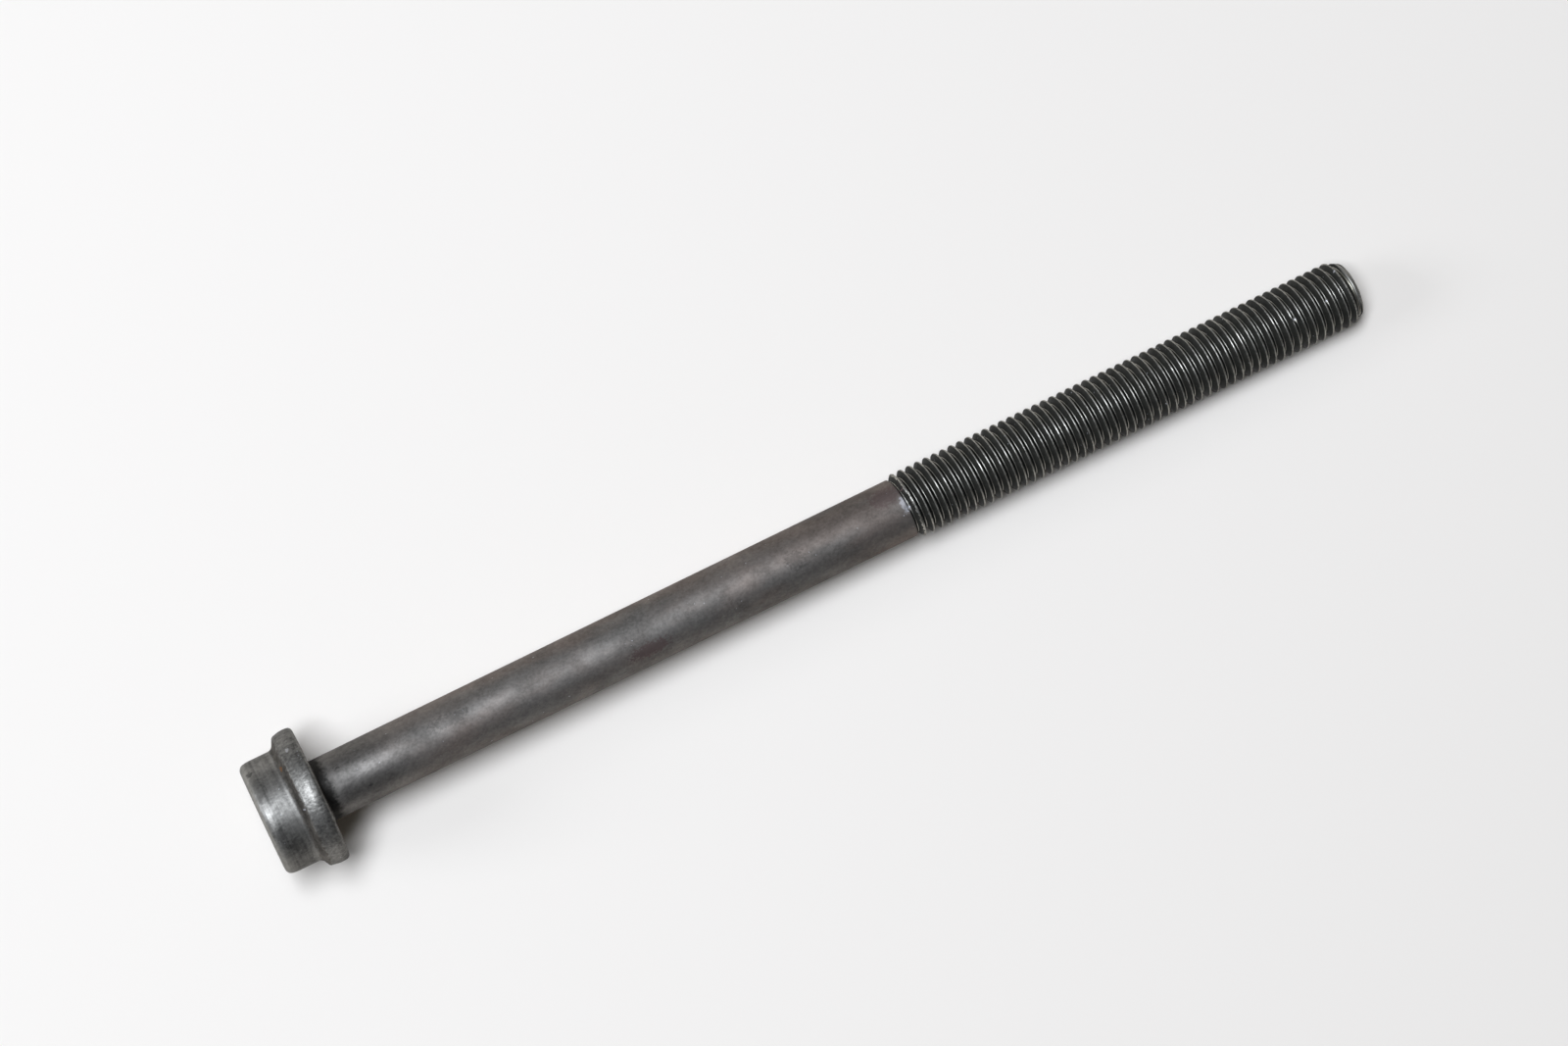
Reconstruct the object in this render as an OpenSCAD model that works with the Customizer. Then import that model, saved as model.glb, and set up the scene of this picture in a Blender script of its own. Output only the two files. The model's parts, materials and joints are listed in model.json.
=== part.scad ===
// Cylinder head bolt, forged and rolled in one piece from steel.
// A round cap with a lobed drive socket stands on a thick round flange. Below its bearing
// face come a plain shank and a long metric thread, drawn as rings of the thread's true
// section. The bolt lies on its side: the flange's rim and the last full crest of the
// thread touch the plane z = 0, and the tip points along +X, a little downward.

/* [Lengths] */
// Length below the head, from the bearing face to the tip
under_head_len = 181; // [140:1:220]
// Length of the thread, with its first groove and its tapered tip
thread_len = 81.7; // [40:0.1:110]
// Height of the head, from the bearing face to the end of the cap
head_h = 9.8; // [9:0.1:14]

/* [Thread] */
// Major diameter of the thread
thread_d = 11; // [10.5:0.25:13]
// Pitch of the thread
thread_pitch = 1.5; // [1:0.25:2]
// Length of the taper at the tip
tip_taper_len = 2.2; // [1.5:0.1:5]
// Diameter of the flat end at the tip
tip_d = 9; // [7:0.1:9.8]

/* [Shank] */
// Diameter of the plain shank, the blank that the thread is rolled from
shank_d = 9.9; // [9.5:0.05:10.3]
// Radius of the fillet between the shank and the bearing face
neck_fillet = 0.5; // [0.2:0.1:0.6]

/* [Cap] */
// Diameter of the cap
cap_d = 18.3; // [16:0.1:19]
// Rounding of the cap's end edge
cap_edge = 1.1; // [0.3:0.1:1.5]
// Radius of the fillet where the flange's back meets the cap
cap_fillet = 1; // [0.3:0.1:1.5]

/* [Flange] */
// Diameter of the flange
flange_d = 22.1; // [21.5:0.1:26]
// Width of the straight rim
rim_w = 0.9; // [0.5:0.1:2]
// Width of the bevel between the rim and the flange's back
bevel_w = 1.4; // [0.5:0.1:2]
// Slope of the bevel, from the bolt's axis
bevel_slope = 11; // [5:1:20]
// Rounding from the rim to the bearing face
bearing_edge = 0.7; // [0.3:0.1:1]
// Rounding from the bevel to the flange's back
shoulder_edge = 0.6; // [0.3:0.1:0.9]
// Slope of the flange's back, from the bolt's axis
back_slope = 64; // [55:1:75]

/* [Drive socket] */
// Distance across two opposite lobes of the socket
socket_d = 11.35; // [9:0.05:11.8]
// Distance across two opposite waists of the socket
socket_waist_d = 8.05; // [7.5:0.05:8.3]
// Radius of each lobe's tip
lobe_r = 0.78; // [0.7:0.01:0.9]
// Depth of the lobed walls below the end of the cap
socket_depth = 6; // [4.5:0.1:6.5]
// Point angle of the cone that ends the socket
socket_point_angle = 140; // [120:1:160]
// Diameter of the conical mouth at the end of the cap
mouth_d = 12.3; // [12:0.1:13]
// Slope of the conical mouth, from the bolt's axis
mouth_slope = 45; // [40:1:60]

/* [Hidden] */
$fn = 96;

arc_steps = 8;          // straight stretches in each rounded corner of the outline
lobes = 6;              // lobes of the drive socket
flank_angle = 30;       // half of the thread's included angle
thread_depth = 0.61343; // depth of an external metric thread, in pitches
crest_share = 1 / 8;    // width of a crest, in pitches
overrun = 1;            // how far a cut runs on past the face that it opens in

thread_r = thread_d / 2;
root_r = thread_r - thread_depth * thread_pitch;
shank_r = shank_d / 2;
cap_r = cap_d / 2;
flange_r = flange_d / 2;

// Heights along the bolt's axis, from the bearing face towards the tip.
cap_end_z = -head_h;
rim_z = -bearing_edge;
bevel_z = rim_z - rim_w;
taper_z = under_head_len - tip_taper_len;

// The crests are counted back from the taper, so that the last full crest ends there.
crest_w = crest_share * thread_pitch;
flank_w = (thread_r - root_r) * tan(flank_angle);
full_crests = round((thread_len - tip_taper_len) / thread_pitch);
tip_crests = ceil(tip_taper_len / thread_pitch);
first_groove_z = taper_z - full_crests * thread_pitch + flank_w;
shank_end_z = first_groove_z - (shank_r - root_r) * tan(flank_angle);

// The bolt lies on the lowest points of the rim and of the last full crest.
lie_angle = atan((flange_r - thread_r) / (taper_z - rim_z));
lie_z = thread_r * cos(lie_angle) + taper_z * sin(lie_angle);
head_reach = (head_h - cap_edge) * cos(lie_angle) + (cap_r - cap_edge) * sin(lie_angle) + cap_edge;
tip_reach = under_head_len * cos(lie_angle) + tip_d / 2 * sin(lie_angle);
lie_x = (head_reach - tip_reach) / 2;

// Points of an arc about a centre [radius, height], from one angle to another.
function arc(centre, r, from, to) =
    [for (i = [0 : arc_steps])
        let (a = from + (to - from) * i / arc_steps) centre + r * [cos(a), sin(a)]];

// The flange's back, from its fillet on the cap over its wall and shoulder to the bevel.
function back_points() =
    let (
        bevel_end = [flange_r - bevel_w * tan(bevel_slope), bevel_z - bevel_w],
        shoulder = bevel_end - shoulder_edge * [cos(bevel_slope), -sin(bevel_slope)],
        outward = [cos(back_slope), -sin(back_slope)],
        along = [sin(back_slope), cos(back_slope)],
        wall_top = shoulder + shoulder_edge * outward,
        wall_len = (wall_top[0] + cap_fillet * outward[0] - cap_fillet - cap_r) / along[0],
        fillet = wall_top - wall_len * along + cap_fillet * outward
    )
    concat(
        arc(fillet, cap_fillet, 180, 180 - back_slope),
        arc(shoulder, shoulder_edge, -back_slope, -bevel_slope),
        [[flange_r, bevel_z]]
    );

// One ring of the thread: the root of a groove and the crest that follows it.
function ring_points(z) = [
    [root_r, z],
    [root_r, z + thread_pitch - crest_w - 2 * flank_w],
    [thread_r, z + thread_pitch - crest_w - flank_w],
    [thread_r, z + thread_pitch - flank_w]
];

// Half of the bolt's section, from the cap's end to the flat end at the tip.
module blank_profile() {
    polygon(concat(
        [[0, cap_end_z]],
        arc([cap_r - cap_edge, cap_end_z + cap_edge], cap_edge, -90, 0),
        back_points(),
        arc([flange_r - bearing_edge, rim_z], bearing_edge, 0, 90),
        arc([shank_r + neck_fillet, neck_fillet], neck_fillet, -90, -180),
        [[shank_r, shank_end_z]],
        [for (i = [0 : full_crests + tip_crests - 1]) each ring_points(first_groove_z + i * thread_pitch)],
        [[0, first_groove_z + (full_crests + tip_crests) * thread_pitch - flank_w]]
    ));
}

// What the tapered tip leaves of the section.
module tip_limit() {
    polygon([
        [0, cap_end_z], [flange_r, cap_end_z], [flange_r, 0], [thread_r, 0],
        [thread_r, taper_z], [tip_d / 2, under_head_len], [0, under_head_len]
    ]);
}

// Outline of the lobed socket: round lobe tips joined by the round backs of the waists.
module socket_outline() {
    lobe_at = socket_d / 2 - lobe_r;
    waist_r = socket_waist_d / 2;
    half_step = 180 / lobes;
    across = lobe_at * cos(half_step);
    flute_r = (pow(lobe_at, 2) + pow(waist_r, 2) - 2 * waist_r * across - pow(lobe_r, 2))
        / (2 * (across + lobe_r - waist_r));
    flute_at = waist_r + flute_r;
    difference() {
        polygon([for (i = [0 : 2 * lobes - 1])
            (i % 2 == 0 ? lobe_at : flute_at) * [cos(i * half_step), sin(i * half_step)]]);
        for (i = [0 : lobes - 1])
            rotate((2 * i + 1) * half_step) translate([flute_at, 0]) circle(flute_r);
    }
    for (i = [0 : lobes - 1])
        rotate(2 * i * half_step) translate([lobe_at, 0]) circle(lobe_r);
}

// The drive socket as the space that it cuts, with its mouth at z = 0 and its floor above.
module drive_socket() {
    mouth_depth = (mouth_d - socket_waist_d) / 2 / tan(mouth_slope);
    point_depth = socket_waist_d / 2 / tan(socket_point_angle / 2);
    translate([0, 0, -overrun]) linear_extrude(socket_depth + overrun) socket_outline();
    translate([0, 0, socket_depth]) cylinder(h = point_depth, d1 = socket_waist_d, d2 = 0);
    translate([0, 0, -overrun])
        cylinder(h = mouth_depth + overrun, r1 = mouth_d / 2 + overrun * tan(mouth_slope),
            d2 = socket_waist_d);
}

module bolt() {
    color([0.27, 0.27, 0.26])
        translate([lie_x, 0, lie_z]) rotate([0, 90 + lie_angle, 0])
            difference() {
                rotate_extrude() intersection() {
                    blank_profile();
                    tip_limit();
                }
                translate([0, 0, cap_end_z]) drive_socket();
            }
}

bolt();
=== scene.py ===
"""Looks of the cylinder head bolt, a dark forged steel bolt lying on a pale studio floor.

The whole bolt is one closed mesh: drive socket, cap, thick flange, plain shank, and a
right-hand thread rolled as a true helix, which runs out on the shank's underside. It
stands for the CAD node "bolt" and lies exactly where that node lies.

All measures are in millimetres in the bolt's own frame, unless a name says otherwise:
z = 0 is the bearing face below the flange, +z points to the tip, +y is across the bolt
as it lies, and -x points up.
"""
import json
import math

import bpy
import numpy as np
from mathutils import Matrix, Vector


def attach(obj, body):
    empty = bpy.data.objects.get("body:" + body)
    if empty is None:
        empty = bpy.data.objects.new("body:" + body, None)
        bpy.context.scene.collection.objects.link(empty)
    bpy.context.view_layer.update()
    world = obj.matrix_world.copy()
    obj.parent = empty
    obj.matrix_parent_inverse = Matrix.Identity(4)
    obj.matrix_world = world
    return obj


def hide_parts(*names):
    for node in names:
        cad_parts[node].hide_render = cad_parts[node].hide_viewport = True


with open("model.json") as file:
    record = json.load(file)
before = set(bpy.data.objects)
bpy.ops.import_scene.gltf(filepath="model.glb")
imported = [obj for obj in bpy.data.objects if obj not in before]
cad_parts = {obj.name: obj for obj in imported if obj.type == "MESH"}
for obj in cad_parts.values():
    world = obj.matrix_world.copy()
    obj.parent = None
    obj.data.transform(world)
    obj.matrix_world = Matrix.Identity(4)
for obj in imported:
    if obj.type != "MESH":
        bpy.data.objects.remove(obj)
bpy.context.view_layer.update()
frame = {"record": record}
MM = 0.001

# ---------------------------------------------------------------------------- sizes
HEAD_H = 9.77
UNDER_HEAD = 181.0

CAP_R = 9.15
CAP_EDGE = 1.1
CAP_FILLET = 1.0

FLANGE_R = 11.05
BEARING_EDGE = 0.7
RIM_W = 0.9
BEVEL_W = 1.4
BEVEL_SLOPE = math.radians(11)
SHOULDER_EDGE = 0.6
BACK_SLOPE = math.radians(64)

SHANK_R = 4.95
NECK_FILLET = 0.5

# Depths below the cap's end at which the edge's corner and its long curve stop.
ROUND_OFF = (0.9, 2.0)
# The rim's crown: its outermost radius, the radius of its arc and that arc's height.
RIM_R = 11.03
CROWN_SIZE = 4.5
CROWN_Z = -1.34
# The forging sits a touch askew: the head leans, and the cap is off the flange's centre.
HEAD_LEAN = math.tan(math.radians(0.85))
CAP_SHIFT = -0.2

SOCKET_R = 5.675
WAIST_R = 4.025
LOBE_R = 0.78
SOCKET_DEPTH = 6.0
SOCKET_POINT = math.radians(70)
MOUTH_R = 6.15
MOUTH_EDGE = 0.15
LOBES = 6

THREAD_R = 5.5
PITCH = 1.5
CREST_HALF = PITCH / 16
FLANK_ANGLE = math.radians(30)
FLANK = math.tan(FLANK_ANGLE)
# A crest is rounded by this much for each square millimetre from its centre.
CREST_ROUND = 4.0
# The root is a small arc between the two flanks.
ROOT_ARC = 0.11
ROOT_R = THREAD_R + CREST_HALF / FLANK - PITCH / 2 / FLANK + ROOT_ARC
# Height of the first crest's centre, on the +y side.
FIRST_CREST = 100.82
TAPER_Z = 178.8
TIP_R = 4.5
TIP_EDGE = 0.12

# ---------------------------------------------------------------------------- camera
# The photograph's camera: its place in millimetres, how far it looks ahead along +X from
# straight down, the picture's roll, and its focal length in pixels of the photograph.
CAMERA_AT = (-80.8, 5.9, 599.7)
CAMERA_AHEAD = 7.476
CAMERA_ROLL = 25.933
FOCAL_PIXELS = 3913
PHOTO_WIDTH = 1600
SENSOR_WIDTH = 36

# ---------------------------------------------------------------------------- light
# Each light: size and distance in metres, power in watts, lean towards -X and towards +Y
# in degrees, and turn about its own axis in degrees.
SOFTBOX = ((0.8, 0.34), 1.45, 20.6, (13, 10.3), 45)
WINDOW = ((0.5, 0.5), 1.4, 4.4, (60, 30), 0)
LIGHT_TINT = (0.92, 0.99, 1.1)
ROOM_TINT = (1.08, 1.0, 0.9)
# The room's brightness rises from one to the other between two values of a direction's y.
ROOM_DARK = 0.01
ROOM_LIGHT = 0.1
ROOM_RISE = (-0.6, 0.8)
FLOOR_TINT = (0.908, 0.846, 0.769)
FLOOR_ROUGH = 0.9
FLOOR_HALF = 3.0

# ---------------------------------------------------------------------------- finish
HEAD_GREY = (0.178, 0.171, 0.157)
# Painted shade in the concave fillet, tinted brown.
FILLET_SHADE_BROWN = (0.112, 0.1, 0.086)
SHANK_GREY = (0.184, 0.172, 0.158)
SHANK_BROWN = (0.195, 0.164, 0.144)
FLANK_DARK = (0.0245, 0.024, 0.0205)
# Painted shade on the flanks that face the tip.
FLANK_PAINTED_SHADE = (0.008, 0.008, 0.007)
CREST_BARE = (0.38, 0.366, 0.33)
ROOT_BARE = (0.43, 0.415, 0.37)
WORN_WHITE = (0.8, 0.8, 0.84)
RUST = (0.22, 0.115, 0.055)
SMUDGE = (0.05, 0.048, 0.045)
PLUM = (0.15, 0.105, 0.1)
HEAD_ROUGH = 0.47
SHANK_ROUGH = 0.6
NEAR_ROUGH = 0.48
FLANK_ROUGH = 0.6
BARE_ROUGH = 0.42
# The steel's own skin shines less than bare metal, and the coated flanks much less.
SKIN_METAL = 0.8
COATED_METAL = 0.12
# The dull oxide keeps the steel from shining at grazing angles.
SPECULAR = 0.15
SPECULAR_TINT = 0.45
# Depth of the surface's fine relief, in metres, and how much of it each kind takes.
BUMP = 0.13 * MM
GRAIN_SHARE = 0.2
DIMPLE_SHARE = 0.45

# Heights between which each finish, and each painted highlight and shade, of the bolt comes in.
HEAD_TO = (0.0, 0.4)
FLANGE_FROM = (-3.9, -3.3)
DIMPLES_FROM = (-3.7, -3.2)
# A painted highlight on the cap's end edge.
END_HIGHLIGHT_FROM = (-8.3, -9.2)
# Painted shade on the rim, whose crown turns away from the light.
RIM_SHADE_FROM = (-1.6, -1.0)
RIM_EDGE_Z = (-0.4, -0.15)
# The flange's shadow, painted on the neck as a dark ring.
NECK_SHADOW_TO = (1.0, 2.5)
BROWN_FROM = (6.0, 22.0)
# Painted shade far down the shank, where the light falls off.
SHANK_SHADE_FROM = (70.0, 95.0)
TAPER_FROM = (177.8, 178.6)
RINGS_FROM = (180.0, 180.3)
# Strips of height: where each starts, is full, starts to fade and is gone.
CAP_LINE = (-8.05, -7.75, -7.7, -7.4)
FLANGE_LIP = (-4.9, -4.7, -4.55, -4.35)
# The fillet's painted shade lies on this strip.
FILLET_SHADE_STRIP = (-4.4, -4.15, -3.4, -3.15)
NEAR_HEAD = (2.0, 3.5, 9.0, 16.0)
# Radii between which the rim's edge, the bare crests and the bare roots come in.
RIM_EDGE_R = (10.3, 10.6)
CREST_FROM = (THREAD_R - 0.1, THREAD_R - 0.045)
ROOT_TO = (ROOT_R + 0.025, ROOT_R + 0.01)
# Shares of the pitch from a crest's centre towards the tip: the strip of the flank that
# faces the tip, painted in shade, where the crest ends, and where the next one starts.
TIP_FACING_SHADE = (0.06, 0.1, 0.47, 0.5)
CREST_ENDS = (0.1, 0.05)
CREST_STARTS = (0.88, 0.94)
# Turns from the first crest's centre between which that crest ends.
FIRST_TURN = (0.6, 0.45)
# Half the width of the soft border between shank and thread.
START_SOFT = 0.05

# Values of a noise between which it has its effect.
NOISE_SPAN = (0.3, 0.7)
WIDE_SPAN = (0.25, 0.75)
TINT_SPAN = (0.35, 0.65)
RING_SPAN = (0.5, 0.58)
FLECK_SPAN = (0.77, 0.81)
CREST_SPAN = (0.3, 0.5)
EDGE_SPAN = (0.35, 0.55)
# How far each noise makes the steel lighter or darker, as a share of its own colour.
BLOTCHES = 0.14
HEAD_BLOTCHES = 0.16
HEAD_STREAKS = 0.2
FLANGE_STREAKS = 0.3
HEAD_COARSE = 0.16
CAP_PITS = 0.14
FLANGE_PITS = 0.28
SHANK_GRAIN = 0.14
SHANK_COARSE = 0.08
THREAD_GRAIN = 0.16
# How much lighter or darker each place is, as a share of the steel's own colour; the cap's
# end edge takes a painted highlight, and the rim painted shade.
LINE_DARK = 0.22
END_PAINTED_HIGHLIGHT = 0.65
FLANGE_BRIGHT = 0.14
RIM_PAINTED_SHADE = 0.3
EDGE_BRIGHT = 0.22
NEAR_DARK = 0.12
# The shares of the colour that are left in the flange's shadow painted on the neck, and in
# the painted shade far down the shank, where the light falls off.
NECK_SHADOW_SHARE = 0.22
SHANK_PAINTED_SHADE = 0.9
# How much the fillet's brown painted shade, the bright flecks and the tip's turned rings cover.
FILLET_SHADE_COVER = 0.8
FLECK_COVER = 0.4
RING_COVER = 0.7
# The least that the crests are rubbed bare, and their edges on the taper.
LEAST_RUBBED = 0.55
LEAST_EDGE = 0.2
# How much rougher the fillet is, and how far the blotches change the roughness.
FILLET_ROUGH = 0.15
BLOTCH_ROUGH = 0.05
# How ragged the borders of the fillet's painted shade, the flange's shadow painted on the
# neck and the first crest are.
FILLET_SHADE_RAGGED = 0.2
NECK_SHADOW_RAGGED = 0.3
FIRST_RAGGED = 0.3
# Marks: how ragged they are and where their edge lies, as shares of their own size.
MARK_RAGGED = 0.45
MARK_EDGE = (1.2, 0.7)

# Marks that the photo shows: colour, height, turn from +y over the top in degrees, size
# along the bolt in millimetres, size around it in degrees, and how much they cover.
MARKS = (
    (RUST, -3.95, 52, 0.2, 2.6, 0.75),
    (WORN_WHITE, -2.0, 44, 0.26, 2.0, 0.35),
    (WORN_WHITE, -3.5, 97, 0.16, 1.0, 0.9),
    (SMUDGE, -8.6, 38, 0.5, 3.5, 0.6),
    (SMUDGE, -8.2, 110, 1.0, 8.0, 0.35),
    (SMUDGE, -6.5, 128, 1.4, 9.0, 0.3),
    (SMUDGE, 3.7, 64, 0.5, 3.0, 0.6),
    (SMUDGE, 7.2, 118, 0.35, 2.5, 0.6),
    (PLUM, 54.5, 121, 3.2, 14.0, 0.7),
    (PLUM, 97.6, 55, 2.6, 20.0, 0.6),
    (WORN_WHITE, 99.8, 86, 0.6, 17.0, 0.33),
    (WORN_WHITE, 100.1, 96, 0.4, 5.0, 1.0),
    (WORN_WHITE, 99.0, 104, 0.12, 1.2, 0.8),
    (WORN_WHITE, 169.2, 95, 0.22, 3.5, 1.0),
    (WORN_WHITE, 175.3, 90, 0.2, 2.5, 0.9),
    (WORN_WHITE, 178.9, 47, 0.18, 2.0, 0.8),
    (SMUDGE, 80.5, 90, 1.6, 16.0, 0.3),
    (SMUDGE, 22.0, 75, 3.0, 12.0, 0.25),
)

# ---------------------------------------------------------------------------- mesh grid
ROUND = 96
SOCKET_ROUND = 192
SHANK_ROWS = 96
# The grid's seam and the thread's run-out lie on the underside, 60 degrees before +y.
SEAM = math.radians(-60)
RUN_OUT = math.radians(55)
# Distance from a crest's centre to where its flank reaches the shank's radius.
EDGE_AT = CREST_HALF + (THREAD_R - SHANK_R) * FLANK
# Rows of the thread over one pitch, from the centre of a crest.
THREAD_ROWS = (0, 0.045, 0.08, 0.115, EDGE_AT, 0.655, 0.69, 0.72, 0.75, 0.78, 0.81,
               0.845, 1.385, 1.42, 1.455)
# Small dents: height, turn from +y over the top in degrees, size and depth.
DENTS = ((-9.4, 66, 0.6, 0.1), (-9.45, 99, 0.5, 0.1), (3.7, 64, 0.5, 0.05),
         (100.1, 96, 0.5, 0.12), (169.2, 95, 0.45, 0.25), (175.3, 90, 0.4, 0.2))
# The most that is rubbed off the full crests, the radius from which the metal is rubbed,
# and the further radius over which the wear grows to that.
CREST_WEAR = 0.045
WEAR_FROM = 5.25
WEAR_OVER = 0.2
# The wear is ragged: the mean of some waves, with a range for their paces along the helix.
# The mean times the gain, plus the base, goes through a smooth step.
WEAR_SEED = 11
WEAR_WAVES = 14
WEAR_PACES = (4, 34)
WEAR_GAIN = 3
WEAR_BASE = 0.3
# The thread's ends are rubbed more, on the taper and on the first crest. Each pair is a
# height and the distance over which that wear grows.
END_WEAR = 1.5
TIP_WORN = (177.0, 1.5)
START_WORN = (FIRST_CREST + 1.4, 0.6)
# The height at which the head's lean starts to fade towards the tip, and the one at which
# the cap's shift starts to grow towards the cap's end, each with the distance it takes.
LEAN_TO = (-0.1, 0.9)
SHIFT_FROM = (-2.6, 1.6)
# Distance from a corner to the row that holds the flat face beside it flat.
HOLD = 0.2


def bolt_frame():
    """The matrix from the bolt's own frame, in millimetres, to the row frame, in metres."""
    mounts = {m["name"]: m for m in frame["record"]["mounts"]}
    axis = Vector(mounts["thread"]["axis"]).normalized()
    face = Vector(mounts["bearing_face"]["pos_m"])
    face.y = 0.0
    across = Vector((0, 1, 0))
    down = across.cross(axis)
    turn = Matrix((down, across, axis)).transposed().to_4x4()
    return Matrix.Translation(face) @ turn @ Matrix.Scale(MM, 4)


BOLT = bolt_frame()


# ---------------------------------------------------------------------------- helpers
def arc(radius, height, size, start, end, steps):
    """Points (radius, height) on an arc about a centre, angles in degrees."""
    angles = np.radians(np.linspace(start, end, steps + 1))
    return [(radius + size * math.cos(a), height + size * math.sin(a)) for a in angles]


def ring(radius, height, count=ROUND):
    """One row of the grid as an array of (radius, angle, height)."""
    angles = SEAM + 2 * math.pi * np.arange(count) / count
    row = np.empty((count, 3))
    row[:, 0] = radius
    row[:, 1] = angles
    row[:, 2] = height
    return row


def smooth_step(x):
    """0 below 0, 1 above 1, and smooth between."""
    x = np.clip(x, 0, 1)
    return x * x * (3 - 2 * x)


# ---------------------------------------------------------------------------- head
def socket_outline():
    """Radius of the lobed socket at each column: round lobes, round backs at the waists."""
    half = math.pi / LOBES
    lobe_at = SOCKET_R - LOBE_R
    across = lobe_at * math.cos(half)
    flute = (lobe_at ** 2 + WAIST_R ** 2 - 2 * WAIST_R * across - LOBE_R ** 2) / (
        2 * (across + LOBE_R - WAIST_R))
    flute_at = WAIST_R + flute
    angles = SEAM + 2 * math.pi * np.arange(SOCKET_ROUND) / SOCKET_ROUND
    turn = np.abs((angles + half) % (2 * half) - half)
    on_lobe = LOBE_R ** 2 - (lobe_at * np.sin(turn)) ** 2
    lobe = lobe_at * np.cos(turn) + np.sqrt(np.maximum(on_lobe, 0))
    back = half - turn
    on_back = np.maximum(flute ** 2 - (flute_at * np.sin(back)) ** 2, 0)
    waist = flute_at * np.cos(back) - np.sqrt(on_back)
    # The lobe's and the flute's circles touch on the line between their centres.
    gap = np.array([flute_at * math.cos(half), flute_at * math.sin(half)]) - (lobe_at, 0)
    touch = np.array([lobe_at, 0]) + gap * LOBE_R / (LOBE_R + flute)
    return np.where(turn < math.atan2(touch[1], touch[0]), lobe, waist)


def socket_rows():
    """Rows from the socket's pointed floor up its lobed walls to the cap's end face."""
    end = -HEAD_H
    wall = socket_outline()
    floor = end + SOCKET_DEPTH
    waist = np.full(SOCKET_ROUND, WAIST_R)
    deep = WAIST_R / math.tan(SOCKET_POINT)
    rows = []
    for share in (0.04, 0.3, 0.7):
        rows.append(ring(waist * share, floor + deep * (1 - share), SOCKET_ROUND))
    # Close pairs of rows keep the floor's corner and the conical mouth's edges crisp.
    chamfer = end + MOUTH_R - wall
    for radius, height in (
            (waist - 0.02, floor), (wall - 0.12, floor - 0.02), (wall, floor - 0.15),
            (wall, (floor + chamfer) / 2), (wall, chamfer + 0.08),
            (wall + 0.06, chamfer - 0.06), (MOUTH_R - 0.03, end + 0.03),
            (MOUTH_R + MOUTH_EDGE, end)):
        rows.append(ring(radius, height, SOCKET_ROUND))
    return rows


def head_profile():
    """Points (radius, height) of the head's outline from the end face to the neck."""
    bevel_z = -BEARING_EDGE - RIM_W
    bevel_end = (FLANGE_R - BEVEL_W * math.tan(BEVEL_SLOPE), bevel_z - BEVEL_W)
    shoulder = (bevel_end[0] - SHOULDER_EDGE * math.cos(BEVEL_SLOPE),
                bevel_end[1] + SHOULDER_EDGE * math.sin(BEVEL_SLOPE))
    out = (math.cos(BACK_SLOPE), -math.sin(BACK_SLOPE))
    along = (math.sin(BACK_SLOPE), math.cos(BACK_SLOPE))
    top = (shoulder[0] + SHOULDER_EDGE * out[0], shoulder[1] + SHOULDER_EDGE * out[1])
    wall = (top[0] + CAP_FILLET * out[0] - CAP_FILLET - CAP_R) / along[0]
    fillet = (top[0] - wall * along[0] + CAP_FILLET * out[0],
              top[1] - wall * along[1] + CAP_FILLET * out[1])
    back = math.degrees(BACK_SLOPE)
    bevel = math.degrees(BEVEL_SLOPE)
    end = -HEAD_H
    # Two rows hold the ring between the mouth and the end edge flat.
    points = [(MOUTH_R + 0.9, end), (CAP_R - CAP_EDGE - 0.3, end)]
    # The end edge is a round corner that runs out in a long gentle curve.
    start = math.asin(1 - ROUND_OFF[0] / CAP_EDGE)
    slow = ROUND_OFF[1] - ROUND_OFF[0]
    drop = slow * math.tan(start) / 2
    corner = CAP_R - drop - CAP_EDGE * math.cos(start)
    points += arc(corner, end + CAP_EDGE, CAP_EDGE, -90, -math.degrees(start), 9)
    points += [(CAP_R - drop * (1 - k) ** 2, end + ROUND_OFF[0] + slow * k)
               for k in (0.25, 0.5, 0.75, 1.0)]
    points += [(CAP_R, z) for z in np.linspace(end + ROUND_OFF[1], fillet[1], 7)[1:-1]]
    points += arc(fillet[0], fillet[1], CAP_FILLET, 180, 180 - back, 6)
    points += arc(shoulder[0], shoulder[1], SHOULDER_EDGE, -back, -bevel, 5)
    # The rim is crowned: one long arc leads from the bevel to the rounding below it.
    inner = CROWN_SIZE - BEARING_EDGE
    turn = math.asin((-BEARING_EDGE - CROWN_Z) / inner)
    points += arc(RIM_R - CROWN_SIZE, CROWN_Z, CROWN_SIZE, -bevel, math.degrees(turn), 7)
    edge_r = RIM_R - CROWN_SIZE + inner * math.cos(turn)
    points += arc(edge_r, -BEARING_EDGE, BEARING_EDGE, math.degrees(turn), 90, 7)[1:]
    points += [(edge_r - HOLD, 0), (SHANK_R + NECK_FILLET + HOLD, 0)]
    points += arc(SHANK_R + NECK_FILLET, NECK_FILLET, NECK_FILLET, -90, -180, 5)
    return points


# ---------------------------------------------------------------------------- thread
def thread_section(offset):
    """Radius of the rolled thread at an axial distance from the centre of a crest."""
    away = np.abs((offset + PITCH / 2) % PITCH - PITCH / 2)
    flank = THREAD_R - (away - CREST_HALF) / FLANK
    crest = THREAD_R - CREST_ROUND * away ** 2
    from_root = PITCH / 2 - away
    in_arc = np.maximum(ROOT_ARC ** 2 - from_root ** 2, 0)
    root = ROOT_R + ROOT_ARC - np.sqrt(in_arc)
    radius = np.minimum(crest, flank)
    return np.where(from_root < ROOT_ARC * math.cos(FLANK_ANGLE), root, radius)


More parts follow.
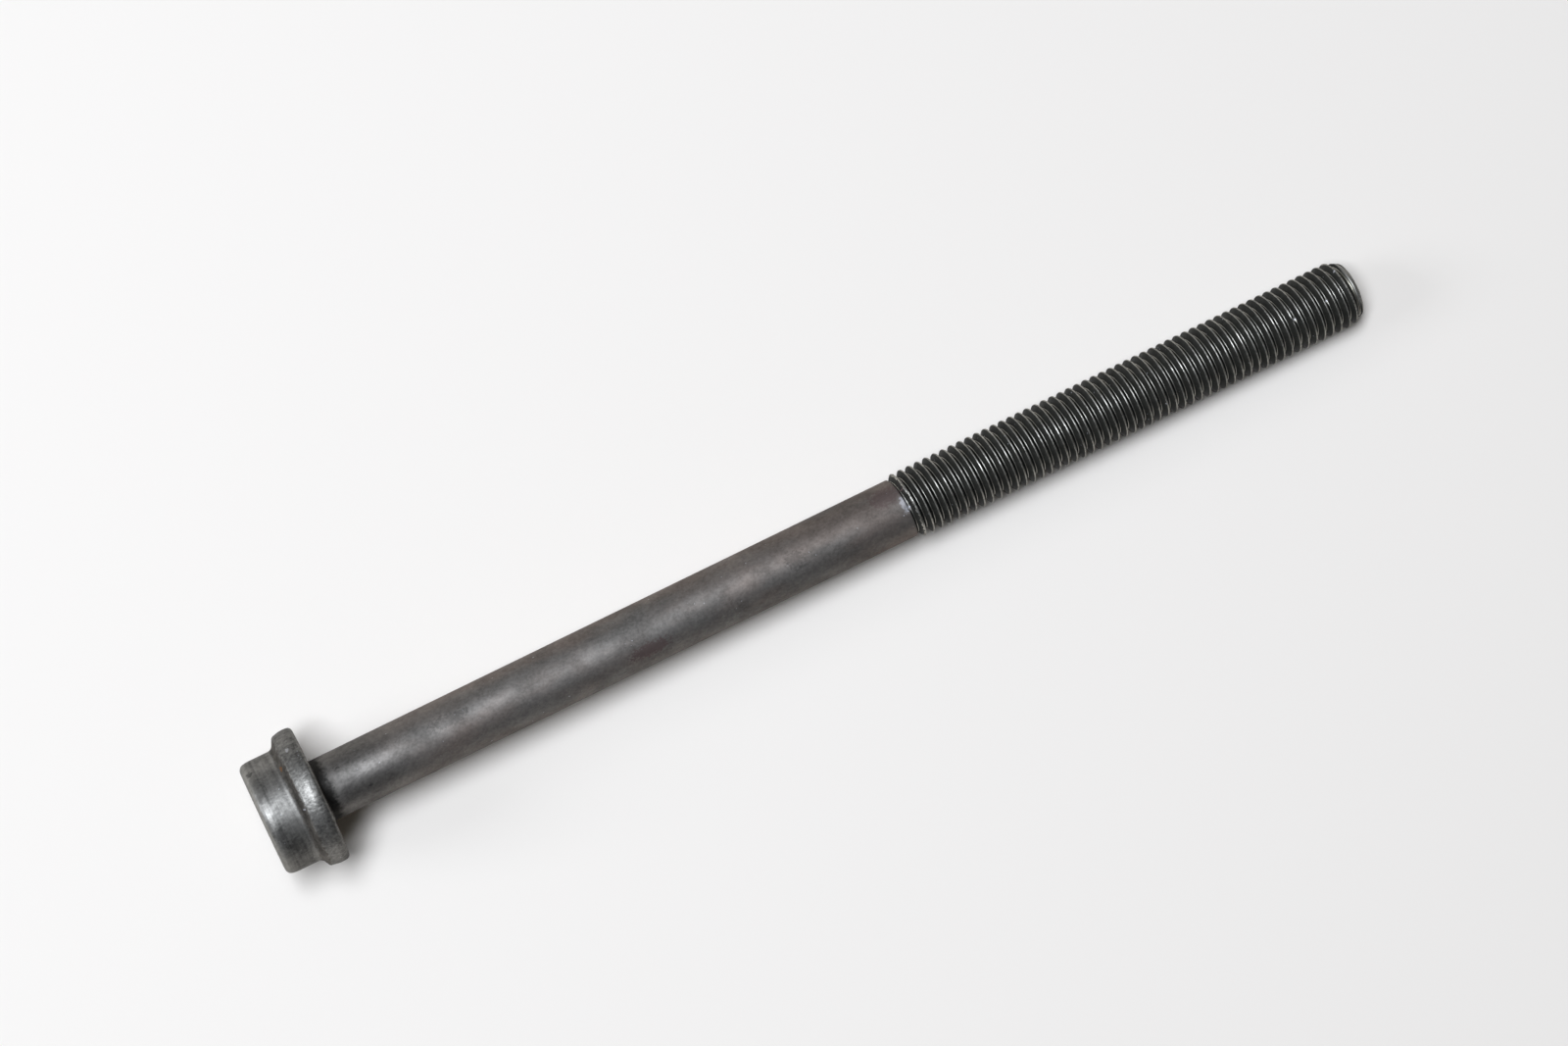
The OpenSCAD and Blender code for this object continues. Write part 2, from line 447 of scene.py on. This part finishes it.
def crest_wear(height):
    """How much is rubbed off the crests along the helix, most of all at both ends."""
    chance = np.random.default_rng(WEAR_SEED)
    paces = chance.uniform(*WEAR_PACES, WEAR_WAVES)
    starts = chance.uniform(0, 6.3, WEAR_WAVES)
    turn = 2 * math.pi * (height - FIRST_CREST) / PITCH
    ragged = np.zeros_like(turn)
    for pace, start in zip(paces, starts):
        ragged += np.sin(pace * turn + start) / WEAR_WAVES
    ends = 1 + END_WEAR * smooth_step((height - TIP_WORN[0]) / TIP_WORN[1])
    ends = ends + END_WEAR * smooth_step((START_WORN[0] - height) / START_WORN[1])
    return CREST_WEAR * ends * smooth_step(ragged * WEAR_GAIN + WEAR_BASE)


def thread_radius(angle, height):
    """Radius of the thread on its first, fading groove, its full turns and its taper."""
    offset = height - FIRST_CREST - PITCH * angle / (2 * math.pi)
    full = thread_section(offset)
    grown = smooth_step((angle - SEAM) / RUN_OUT)
    starting = offset < EDGE_AT
    blank = SHANK_R + grown * (full - SHANK_R)
    radius = np.where(starting, blank, full)
    radius = np.where(offset < -PITCH + EDGE_AT, SHANK_R, radius)
    radius = radius - crest_wear(height) * smooth_step((radius - WEAR_FROM) / WEAR_OVER)
    taper = THREAD_R - (height - TAPER_Z) * (THREAD_R - TIP_R) / (UNDER_HEAD - TAPER_Z)
    return np.minimum(radius, taper)


def thread_start():
    """Height at the grid's seam where the first groove leaves the shank."""
    return FIRST_CREST + PITCH * SEAM / (2 * math.pi) - PITCH + EDGE_AT


def thread_grid():
    """The helical grid: its main rows, and the two wedges that join it to flat rings.

    Row 0 follows the edge where the first groove starts. One turn on, column 0 takes over
    with the row that lies a pitch further, so the grid has no seam across the thread.
    """
    rows = len(THREAD_ROWS)
    first = THREAD_ROWS.index(EDGE_AT)
    steps = np.array([THREAD_ROWS[(first + k) % rows] for k in range(rows + 1)])
    steps[1:] += np.where(steps[1:] <= EDGE_AT, PITCH, 0)
    steps -= EDGE_AT
    start_z = thread_start()
    last_ring = UNDER_HEAD - TIP_EDGE
    turns = int((last_ring - start_z - PITCH) / PITCH)
    spare = last_ring - start_z - PITCH - turns * PITCH
    count = turns * rows + int(np.searchsorted(steps, spare, side="right")) - 1
    row_z = np.array([start_z + steps[j % rows] + PITCH * (j // rows)
                      for j in range(count + 1)])
    share = np.arange(ROUND) / ROUND
    angles = SEAM + 2 * math.pi * share
    main = np.empty((count + 1, ROUND, 3))
    main[:, :, 1] = angles
    main[:, :, 2] = row_z[:, None] + PITCH * share
    low = np.empty((rows, ROUND, 3))
    low[:, :, 1] = angles
    low[:, :, 2] = start_z + steps[:rows, None] * share
    high = np.empty((rows, ROUND, 3))
    high[:, :, 1] = angles
    high[:, :, 2] = row_z[-1] + PITCH * share + steps[1:, None] * (1 - share)
    for part in (main, low, high):
        part[:, :, 0] = thread_radius(part[:, :, 1], part[:, :, 2])
    return low, main, high


def lean_head(points):
    """Sets the head askew: its faces lean, and the cap sits off the flange's centre."""
    z = points[:, 2].copy()
    share = 1 - smooth_step((z - LEAN_TO[0]) / LEAN_TO[1])
    points[:, 2] += share * HEAD_LEAN * points[:, 1]
    points[:, 1] += CAP_SHIFT * smooth_step((SHIFT_FROM[0] - z) / SHIFT_FROM[1])


def press_dents(points):
    """Presses the small dents into the surface."""
    radius = np.hypot(points[:, 0], points[:, 1])
    angle = np.arctan2(-points[:, 0], points[:, 1])
    for height, turn, size, depth in DENTS:
        off_z = (points[:, 2] - height) / size
        off_a = radius * (angle - math.radians(turn)) / size
        pressed = depth * np.exp(-off_z ** 2 - off_a ** 2) / np.maximum(radius, 1)
        points[:, :2] *= 1 - pressed[:, None]


class Skin:
    """Gathers the rows of the bolt's surface and the faces between them."""

    def __init__(self):
        self.points = []
        self.faces = []
        self.count = 0

    def add(self, row):
        """Adds a row of (radius, angle, height) and returns its vertex numbers."""
        row = np.atleast_2d(row)
        x = -row[:, 0] * np.sin(row[:, 1])
        y = row[:, 0] * np.cos(row[:, 1])
        self.points.append(np.stack([x, y, row[:, 2]], axis=1))
        numbers = np.arange(self.count, self.count + len(row))
        self.count += len(row)
        return numbers

    def band(self, before, after):
        """Quads between two closed rows of the same length."""
        following = np.roll(before, -1)
        beyond = np.roll(after, -1)
        self.faces += np.stack([before, following, beyond, after], axis=1).tolist()

    def widen(self, fine, coarse):
        """Triangles between a row and the next row, which has half as many points."""
        after = np.roll(fine, -2)[::2]
        self.faces += np.stack([fine[::2], fine[1::2], coarse], axis=1).tolist()
        self.faces += np.stack([fine[1::2], np.roll(coarse, -1), coarse], axis=1).tolist()
        self.faces += np.stack([fine[1::2], after, np.roll(coarse, -1)], axis=1).tolist()

    def close(self, row, height, outward):
        """Triangles from a closed row to one point on the axis."""
        middle = int(self.add(np.array([[0.0, 0.0, height]]))[0])
        for a, b in zip(row.tolist(), np.roll(row, -1).tolist()):
            self.faces.append([a, b, middle] if outward else [b, a, middle])

    def cell(self, a, b, c, d):
        """One face, with repeated corners left out."""
        corners = []
        for v in (a, b, c, d):
            if v not in corners:
                corners.append(v)
        if len(corners) > 2:
            self.faces.append(corners)


def add_thread(skin, below):
    """Adds the helical grid above a flat ring and returns the flat ring above it."""
    low, main, high = thread_grid()
    rows = len(low)
    grid = np.array([skin.add(row) for row in main])
    count = len(grid) - 1
    # The lower wedge starts in one point, which is the first point of the first row.
    start = np.array([skin.add(row) for row in low[1:]])
    wedge = np.vstack([below, start, grid[:1]])
    wedge[:, 0] = grid[0, 0]
    wedge[0] = below
    last = grid[:rows + 1, 0]
    for k in range(rows):
        for i in range(ROUND):
            right = i + 1
            if right < ROUND:
                b, c = wedge[k, right], wedge[k + 1, right]
            else:
                b = below[0] if k == 0 else last[k]
                c = last[k + 1]
            a = below[0] if i == 0 else wedge[k, i]
            d = below[0] if i == 0 else wedge[k + 1, i]
            skin.cell(a, b, c, d)
    # The upper wedge ends in one point.
    finish = np.array([skin.add(row) for row in high])
    top = np.vstack([grid[-1:], finish])
    beyond = np.concatenate([grid[:, 0], finish[:, 0]])
    for j in range(count):
        skin.faces += np.stack([grid[j, :-1], grid[j, 1:], grid[j + 1, 1:], grid[j + 1, :-1]],
                               axis=1).tolist()
        skin.faces.append([int(grid[j, -1]), int(beyond[j + rows]), int(beyond[j + rows + 1]),
                           int(grid[j + 1, -1])])
    for k in range(rows):
        for i in range(ROUND):
            right = i + 1
            if right < ROUND:
                b, c = top[k, right], top[k + 1, right]
            else:
                b = c = top[rows, 0]
            skin.cell(top[k, i], b, c, top[k + 1, i])
    return finish[-1]


def bolt_mesh():
    """The whole bolt as one closed mesh in its own frame."""
    skin = Skin()
    rows = [skin.add(row) for row in socket_rows()]
    skin.close(rows[0], -HEAD_H + SOCKET_DEPTH + WAIST_R / math.tan(SOCKET_POINT), False)
    for before, after in zip(rows, rows[1:]):
        skin.band(before, after)
    head = [skin.add(ring(r, z)) for r, z in head_profile()]
    skin.widen(rows[-1], head[0])
    for before, after in zip(head, head[1:]):
        skin.band(before, after)
    shank_rows = np.linspace(NECK_FILLET + 1, thread_start(), SHANK_ROWS)
    shank = [skin.add(ring(SHANK_R, z)) for z in shank_rows]
    skin.band(head[-1], shank[0])
    for before, after in zip(shank, shank[1:]):
        skin.band(before, after)
    top = add_thread(skin, shank[-1])
    # The edge of the tip's flat end is broken by two narrow bands.
    rim = skin.add(ring(TIP_R - 0.02, UNDER_HEAD - 0.03))
    flat = skin.add(ring(TIP_R - TIP_EDGE, UNDER_HEAD))
    skin.band(top, rim)
    skin.band(rim, flat)
    skin.close(flat, UNDER_HEAD, True)
    points = np.concatenate(skin.points)
    press_dents(points)
    lean_head(points)
    return points, skin.faces


def make_bolt():
    """The bolt as one Blender object, which stands for the CAD node."""
    points, faces = bolt_mesh()
    turned = np.array(BOLT)
    points = points @ turned[:3, :3].T + turned[:3, 3]
    mesh = bpy.data.meshes.new("bolt_forged")
    mesh.from_pydata(points.tolist(), [], faces)
    mesh.validate()
    mesh.update()
    mesh.shade_smooth()
    bolt = bpy.data.objects.new("bolt_forged", mesh)
    bpy.context.scene.collection.objects.link(bolt)
    normals = bolt.modifiers.new("normals", "WEIGHTED_NORMAL")
    normals.weight = 60
    normals.keep_sharp = True
    return bolt


# ---------------------------------------------------------------------------- material
class Graph:
    """Short calls for the nodes of one material."""

    def __init__(self, name):
        self.material = bpy.data.materials.new(name)
        self.material.use_nodes = True
        self.tree = self.material.node_tree
        self.shader = self.tree.nodes["Principled BSDF"]

    def plug(self, socket, value):
        """Links a socket's value, or sets a plain one."""
        if isinstance(value, bpy.types.NodeSocket):
            self.tree.links.new(value, socket)
        else:
            socket.default_value = value

    def math(self, operation, *values):
        """One step of arithmetic on sockets or plain numbers."""
        node = self.tree.nodes.new("ShaderNodeMath")
        node.operation = operation
        for socket, value in zip(node.inputs, values):
            self.plug(socket, value)
        return node.outputs[0]

    def fade(self, value, low, high, at_low=0.0, at_high=1.0):
        """A smooth step from one value to another."""
        node = self.tree.nodes.new("ShaderNodeMapRange")
        node.interpolation_type = "SMOOTHSTEP"
        self.plug(node.inputs["Value"], value)
        for name, number in (("From Min", low), ("From Max", high),
                             ("To Min", at_low), ("To Max", at_high)):
            self.plug(node.inputs[name], number)
        return node.outputs[0]

    def strip(self, value, start, full, fading, gone):
        """1 on a strip of values and 0 off it, with soft ends."""
        return self.math("MULTIPLY", self.fade(value, start, full),
                         self.fade(value, gone, fading))

    def swing(self, noise, size, span=NOISE_SPAN):
        """A noise turned into values from -size to size."""
        return self.fade(noise, *span, -size, size)

    def vary(self, noise, size):
        """A noise turned into shares from 1 - size to 1 + size."""
        return self.fade(noise, *NOISE_SPAN, 1 - size, 1 + size)

    def stretch(self, vector, x, y, z, shift=(0, 0, 0)):
        """The vector with each axis scaled and then moved."""
        node = self.tree.nodes.new("ShaderNodeMapping")
        self.plug(node.inputs["Vector"], vector)
        node.inputs["Scale"].default_value = (x, y, z)
        node.inputs["Location"].default_value = shift
        return node.outputs[0]

    def noise(self, vector, detail=2.0, rough=0.5):
        """Noise about 0.5, with features as large as the vector's unit."""
        node = self.tree.nodes.new("ShaderNodeTexNoise")
        self.plug(node.inputs["Vector"], vector)
        node.inputs["Scale"].default_value = 1.0
        node.inputs["Detail"].default_value = detail
        node.inputs["Roughness"].default_value = rough
        return node.outputs[0]

    def blend(self, share, first, second):
        """A colour mixed from two, each a socket or (red, green, blue)."""
        node = self.tree.nodes.new("ShaderNodeMix")
        node.data_type = "RGBA"
        self.plug(node.inputs[0], share)
        for socket, colour in ((node.inputs[6], first), (node.inputs[7], second)):
            self.plug(socket, colour if isinstance(colour, bpy.types.NodeSocket)
                      else (*colour, 1))
        return node.outputs[2]

    def dim(self, colour, share):
        """A colour multiplied by a grey share."""
        node = self.tree.nodes.new("ShaderNodeVectorMath")
        node.operation = "SCALE"
        self.plug(node.inputs[0], colour)
        self.plug(node.inputs["Scale"], share)
        return node.outputs[0]


class Place:
    """Where a point of the bolt lies, in the bolt's own frame, and the noises there."""

    def __init__(self, g):
        place = g.tree.nodes.new("ShaderNodeTexCoord")
        own = g.tree.nodes.new("ShaderNodeMapping")
        own.vector_type = "TEXTURE"
        own.inputs["Location"].default_value = BOLT.to_translation()
        own.inputs["Rotation"].default_value = BOLT.to_euler()
        own.inputs["Scale"].default_value = (MM, MM, MM)
        g.plug(own.inputs["Vector"], place.outputs["Object"])
        self.spot = own.outputs[0]
        parts = g.tree.nodes.new("ShaderNodeSeparateXYZ")
        g.plug(parts.inputs[0], self.spot)
        x, y, self.z = parts.outputs
        across = g.math("ADD", g.math("MULTIPLY", x, x), g.math("MULTIPLY", y, y))
        self.radius = g.math("SQRT", across)
        # The turn from +y over the top, counted from the grid's seam.
        self.angle = g.math("WRAP", g.math("ARCTAN2", g.math("MULTIPLY", x, -1.0), y),
                            SEAM + 2 * math.pi, SEAM)
        # Soft blotches, fine grain, coarse grain, forged dimples, rings round the bolt, and
        # slow changes of tint, each stretched to its own number of features a millimetre.
        self.blotches = g.noise(g.stretch(self.spot, 0.22, 0.22, 0.16), 3, 0.55)
        self.grain = g.noise(g.stretch(self.spot, 2.6, 2.6, 2.2), 3, 0.6)
        self.coarse = g.noise(g.stretch(self.spot, 1.1, 1.1, 1.0, (3, 8, 5)), 2, 0.6)
        self.forged = g.noise(g.stretch(self.spot, 1.7, 1.7, 1.5, (5, 1, 9)), 1, 0.5)
        self.bands = g.noise(g.stretch(self.spot, 0.07, 0.07, 1.7), 3, 0.65)
        self.tint = g.noise(g.stretch(self.spot, 0.12, 0.12, 0.05, (7, 3, 1)), 3, 0.6)


def head_paint(g, at):
    """Colour and roughness of the head: turned cap, forged flange, brown painted shade in the
    fillet.
    """
    on_flange = g.fade(at.z, *FLANGE_FROM)
    streaks = g.math("MULTIPLY", g.swing(at.bands, HEAD_STREAKS),
                     g.fade(on_flange, 0, 1, 1.0, FLANGE_STREAKS))
    shade = g.math("ADD", g.vary(at.blotches, HEAD_BLOTCHES), streaks)
    line = g.strip(at.z, *CAP_LINE)
    shade = g.math("SUBTRACT", shade, g.math("MULTIPLY", line, LINE_DARK))
    shade = g.math("ADD", shade, g.swing(at.coarse, HEAD_COARSE))
    pitted = g.math("MULTIPLY", g.swing(at.grain, 1),
                    g.fade(on_flange, 0, 1, CAP_PITS, FLANGE_PITS))
    shade = g.math("ADD", shade, pitted)
    # A painted highlight lightens the cap's end edge, and the flange is lighter.
    shade = g.math("ADD", shade, g.fade(at.z, *END_HIGHLIGHT_FROM, 0, END_PAINTED_HIGHLIGHT))
    shade = g.math("ADD", shade, g.math("MULTIPLY", on_flange, FLANGE_BRIGHT))
    # Painted shade darkens the rim again.
    shade = g.math("SUBTRACT", shade, g.fade(at.z, *RIM_SHADE_FROM, 0, RIM_PAINTED_SHADE))
    lip = g.strip(at.z, *FLANGE_LIP)
    edge = g.math("MULTIPLY", g.fade(at.z, *RIM_EDGE_Z), g.fade(at.radius, *RIM_EDGE_R))
    rubbed = g.math("MULTIPLY", g.math("ADD", lip, edge), EDGE_BRIGHT)
    shade = g.math("ADD", shade, rubbed)
    # The concave fillet is painted darker and brown, as painted shade.
    height = g.math("ADD", at.z, g.swing(at.coarse, FILLET_SHADE_RAGGED))
    fillet = g.strip(height, *FILLET_SHADE_STRIP)
    colour = g.blend(g.math("MULTIPLY", fillet, FILLET_SHADE_COVER), HEAD_GREY, FILLET_SHADE_BROWN)
    rough = g.math("ADD", g.math("MULTIPLY", fillet, FILLET_ROUGH), HEAD_ROUGH)
    return g.dim(colour, shade), rough


def shank_paint(g, at):
    """Colour and roughness of the shank, with the flange's shadow painted as a dark ring below the
    head.
    """
    brown = g.math("MULTIPLY", g.fade(at.tint, *TINT_SPAN), g.fade(at.z, *BROWN_FROM))
    colour = g.blend(brown, SHANK_GREY, SHANK_BROWN)
    shade = g.vary(at.blotches, BLOTCHES)
    shade = g.math("ADD", shade, g.swing(at.grain, SHANK_GRAIN, WIDE_SPAN))
    shade = g.math("ADD", shade, g.swing(at.coarse, SHANK_COARSE))
    # The flange's shadow is painted on the neck as a dark ring.
    ragged = g.math("ADD", at.z, g.swing(at.coarse, NECK_SHADOW_RAGGED))
    shade = g.math("MULTIPLY", shade, g.fade(ragged, *NECK_SHADOW_TO, NECK_SHADOW_SHARE, 1.0))
    # Painted shade: the shank darkens towards the tip, where the light falls off.
    shade = g.math("MULTIPLY", shade, g.fade(at.z, *SHANK_SHADE_FROM, 1.0, SHANK_PAINTED_SHADE))
    near = g.strip(at.z, *NEAR_HEAD)
    shade = g.math("SUBTRACT", shade, g.math("MULTIPLY", near, NEAR_DARK))
    rough = g.fade(near, 0, 1, SHANK_ROUGH, NEAR_ROUGH)
    return g.dim(colour, shade), rough


def thread_paint(g, at, unwound):
    """Colour of the thread, and its share of bare metal."""
    turn = g.math("DIVIDE", g.math("SUBTRACT", unwound, FIRST_CREST), PITCH)
    phase = g.math("FRACT", turn)
    shade = g.math("ADD", g.vary(at.blotches, BLOTCHES),
                   g.swing(at.grain, THREAD_GRAIN, WIDE_SPAN))
    # The flanks that face the tip are painted near black as painted shade; crests and roots are
    # rubbed.
    colour = g.blend(g.strip(phase, *TIP_FACING_SHADE), FLANK_DARK, FLANK_PAINTED_SHADE)
    rubbed = g.fade(at.coarse, *CREST_SPAN, LEAST_RUBBED, 1.0)
    # The first crest is broad and ragged, where the rolling began.
    first = g.fade(turn, *FIRST_TURN)
    ragged = g.math("MULTIPLY", first, g.fade(at.grain, *TINT_SPAN, 0.0, FIRST_RAGGED))
    crest = g.fade(g.math("ADD", at.radius, ragged), *CREST_FROM)
    crest = g.math("MULTIPLY", crest, rubbed)
    root = g.fade(at.radius, *ROOT_TO)
    # On the taper the turned-down crests keep ragged bright edges.
    edge = g.math("MAXIMUM", g.fade(phase, *CREST_ENDS), g.fade(phase, *CREST_STARTS))
    edge = g.math("MULTIPLY", edge, g.fade(at.grain, *EDGE_SPAN, LEAST_EDGE, 1.0))
    edge = g.math("MULTIPLY", edge, g.fade(at.z, *TAPER_FROM))
    crest = g.math("MAXIMUM", crest, edge)
    # The cut at the tip leaves fine bright rings.
    turned = g.math("MULTIPLY", g.fade(at.bands, *RING_SPAN), g.fade(at.z, *RINGS_FROM))
    crest = g.math("MAXIMUM", crest, g.math("MULTIPLY", turned, RING_COVER))
    colour = g.blend(crest, colour, CREST_BARE)
    colour = g.blend(root, colour, ROOT_BARE)
    return g.dim(colour, shade), g.math("MAXIMUM", crest, root)


def add_marks(g, at, colour):
    """Puts the single marks on a colour; returns it with the share of bare white metal."""
    bare = 0.0
    ragged = g.swing(at.grain, MARK_RAGGED, WIDE_SPAN)
    for paint, height, turn, along, around, cover in MARKS:
        off_z = g.math("DIVIDE", g.math("SUBTRACT", at.z, height), along)
        off_a = g.math("SUBTRACT", at.angle, math.radians(turn))
        off_a = g.math("DIVIDE", off_a, math.radians(around))
        away = g.math("ADD", g.math("MULTIPLY", off_z, off_z),
                      g.math("MULTIPLY", off_a, off_a))
        away = g.math("ADD", g.math("SQRT", away), ragged)
        share = g.fade(away, *MARK_EDGE, 0.0, cover)
        colour = g.blend(share, colour, paint)
        if paint == WORN_WHITE:
            bare = g.math("MAXIMUM", bare, share)
    return colour, bare


def steel_material():
    """Dark oiled phosphated steel, finished differently on head, shank and thread."""
    g = Graph("steel_dark")
    at = Place(g)
    head = g.fade(at.z, *HEAD_TO, 1, 0)
    unwound = g.math("SUBTRACT", at.z, g.math("MULTIPLY", at.angle, PITCH / (2 * math.pi)))
    start = FIRST_CREST - PITCH + EDGE_AT
    thread = g.fade(unwound, start - START_SOFT, start + START_SOFT)

    thread_colour, rubbed = thread_paint(g, at, unwound)
    rubbed = g.math("MULTIPLY", rubbed, thread)
    head_colour, head_rough = head_paint(g, at)
    shank_colour, shank_rough = shank_paint(g, at)
    colour = g.blend(thread, shank_colour, thread_colour)
    colour = g.blend(head, colour, head_colour)
    colour, bare = add_marks(g, at, colour)
    flecks = g.noise(g.stretch(at.spot, 2.1, 2.1, 2.1, (11, 2, 6)), 1, 0.4)
    colour = g.blend(g.fade(flecks, *FLECK_SPAN, 0, FLECK_COVER), colour, WORN_WHITE)
    g.plug(g.shader.inputs["Base Color"], colour)

    rough = g.fade(thread, 0, 1, shank_rough, FLANK_ROUGH)
    rough = g.math("ADD", g.math("MULTIPLY", rough, g.math("SUBTRACT", 1.0, head)),
                   g.math("MULTIPLY", head_rough, head))
    rough = g.math("SUBTRACT", rough, g.swing(at.blotches, BLOTCH_ROUGH))
    bright = g.math("MAXIMUM", rubbed, bare)
    rough = g.math("ADD", rough, g.math("MULTIPLY", bright, BARE_ROUGH - FLANK_ROUGH))
    g.plug(g.shader.inputs["Roughness"], rough)
    coated = g.math("MULTIPLY", thread, g.math("SUBTRACT", 1.0, bright))
    metal = g.math("MAXIMUM", g.fade(coated, 0, 1, SKIN_METAL, COATED_METAL), bright)
    g.plug(g.shader.inputs["Metallic"], metal)
    g.shader.inputs["Specular IOR Level"].default_value = SPECULAR
    g.shader.inputs["Specular Tint"].default_value = (*[SPECULAR_TINT] * 3, 1)

    # The forged flange is dimpled; cap, shank and thread are smoother.
    dimpled = g.math("MULTIPLY", g.fade(at.z, *DIMPLES_FROM), head)
    dimples = g.math("MULTIPLY", at.forged, g.math("MULTIPLY", dimpled, DIMPLE_SHARE))
    height = g.math("ADD", g.math("MULTIPLY", at.grain, GRAIN_SHARE), dimples)
    bump = g.tree.nodes.new("ShaderNodeBump")
    bump.inputs["Distance"].default_value = BUMP
    g.plug(bump.inputs["Height"], height)
    g.plug(g.shader.inputs["Normal"], bump.outputs[0])
    return g.material


# ---------------------------------------------------------------------------- studio
def make_floor():
    """A plain pale floor under the bolt."""
    mesh = bpy.data.meshes.new("floor")
    corners = [(x * FLOOR_HALF, y * FLOOR_HALF, 0) for x, y in ((-1, -1), (1, -1), (1, 1), (-1, 1))]
    mesh.from_pydata(corners, [], [(0, 1, 2, 3)])
    floor = bpy.data.objects.new("floor", mesh)
    bpy.context.scene.collection.objects.link(floor)
    mat = bpy.data.materials.new("floor_paper")
    mat.use_nodes = True
    shader = mat.node_tree.nodes["Principled BSDF"]
    shader.inputs["Base Color"].default_value = (*FLOOR_TINT, 1)
    shader.inputs["Roughness"].default_value = FLOOR_ROUGH
    shader.inputs["Specular IOR Level"].default_value = 0.0
    mesh.materials.append(mat)


def make_world():
    """A dim warm room, lighter towards +Y, the side that both lights stand on."""
    world = bpy.data.worlds.new("studio")
    world.use_nodes = True
    nodes = world.node_tree.nodes
    links = world.node_tree.links
    background = nodes["Background"]
    background.inputs["Color"].default_value = (*ROOM_TINT, 1)
    place = nodes.new("ShaderNodeTexCoord")
    parts = nodes.new("ShaderNodeSeparateXYZ")
    links.new(place.outputs["Generated"], parts.inputs[0])
    side = nodes.new("ShaderNodeMapRange")
    side.inputs["From Min"].default_value = ROOM_RISE[0]
    side.inputs["From Max"].default_value = ROOM_RISE[1]
    side.inputs["To Min"].default_value = ROOM_DARK
    side.inputs["To Max"].default_value = ROOM_LIGHT
    links.new(parts.outputs["Y"], side.inputs["Value"])
    links.new(side.outputs[0], background.inputs["Strength"])
    bpy.context.scene.world = world


def make_light(name, size, away, power, lean, turned):
    """One rectangular light that faces the bolt."""
    data = bpy.data.lights.new(name, "AREA")
    data.shape = "RECTANGLE"
    data.size, data.size_y = size
    data.energy = power
    data.color = LIGHT_TINT
    light = bpy.data.objects.new(name, data)
    bpy.context.scene.collection.objects.link(light)
    lean_x, lean_y = (math.tan(math.radians(angle)) for angle in lean)
    tilt = Vector((-lean_x, lean_y, 1)).normalized()
    side = (Vector((1, 0, 0)) - tilt * tilt.x).normalized()
    face = Matrix((side, tilt.cross(side), tilt)).transposed().to_4x4()
    face = face @ Matrix.Rotation(math.radians(turned), 4, "Z")
    light.matrix_world = Matrix.Translation(tilt * away) @ face


def make_camera():
    """The photograph's view: from above the head's end, with the picture rolled."""
    data = bpy.data.cameras.new("camera")
    data.sensor_width = SENSOR_WIDTH
    data.lens = FOCAL_PIXELS / PHOTO_WIDTH * SENSOR_WIDTH
    data.clip_start = 0.01
    data.clip_end = 20
    camera = bpy.data.objects.new("camera", data)
    bpy.context.scene.collection.objects.link(camera)
    ahead = Vector((math.tan(math.radians(CAMERA_AHEAD)), 0, -1)).normalized()
    level = (Vector((1, 0, 0)) - ahead * ahead.x).normalized()
    upward = (-ahead).cross(level)
    roll = math.radians(CAMERA_ROLL)
    right = math.cos(roll) * level - math.sin(roll) * upward
    up = math.sin(roll) * level + math.cos(roll) * upward
    turn = Matrix((right, up, -ahead)).transposed().to_4x4()
    camera.matrix_world = Matrix.Translation(Vector(CAMERA_AT) * MM) @ turn
    bpy.context.scene.camera = camera


# ---------------------------------------------------------------------------- scene
make_camera()
make_world()
make_light("softbox", *SOFTBOX)
make_light("window", *WINDOW)
make_floor()
bolt = make_bolt()
bolt.data.materials.append(steel_material())
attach(bolt, "root")
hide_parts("bolt")

bpy.context.scene.view_settings.view_transform = "Standard"

bpy.context.view_layer.update()
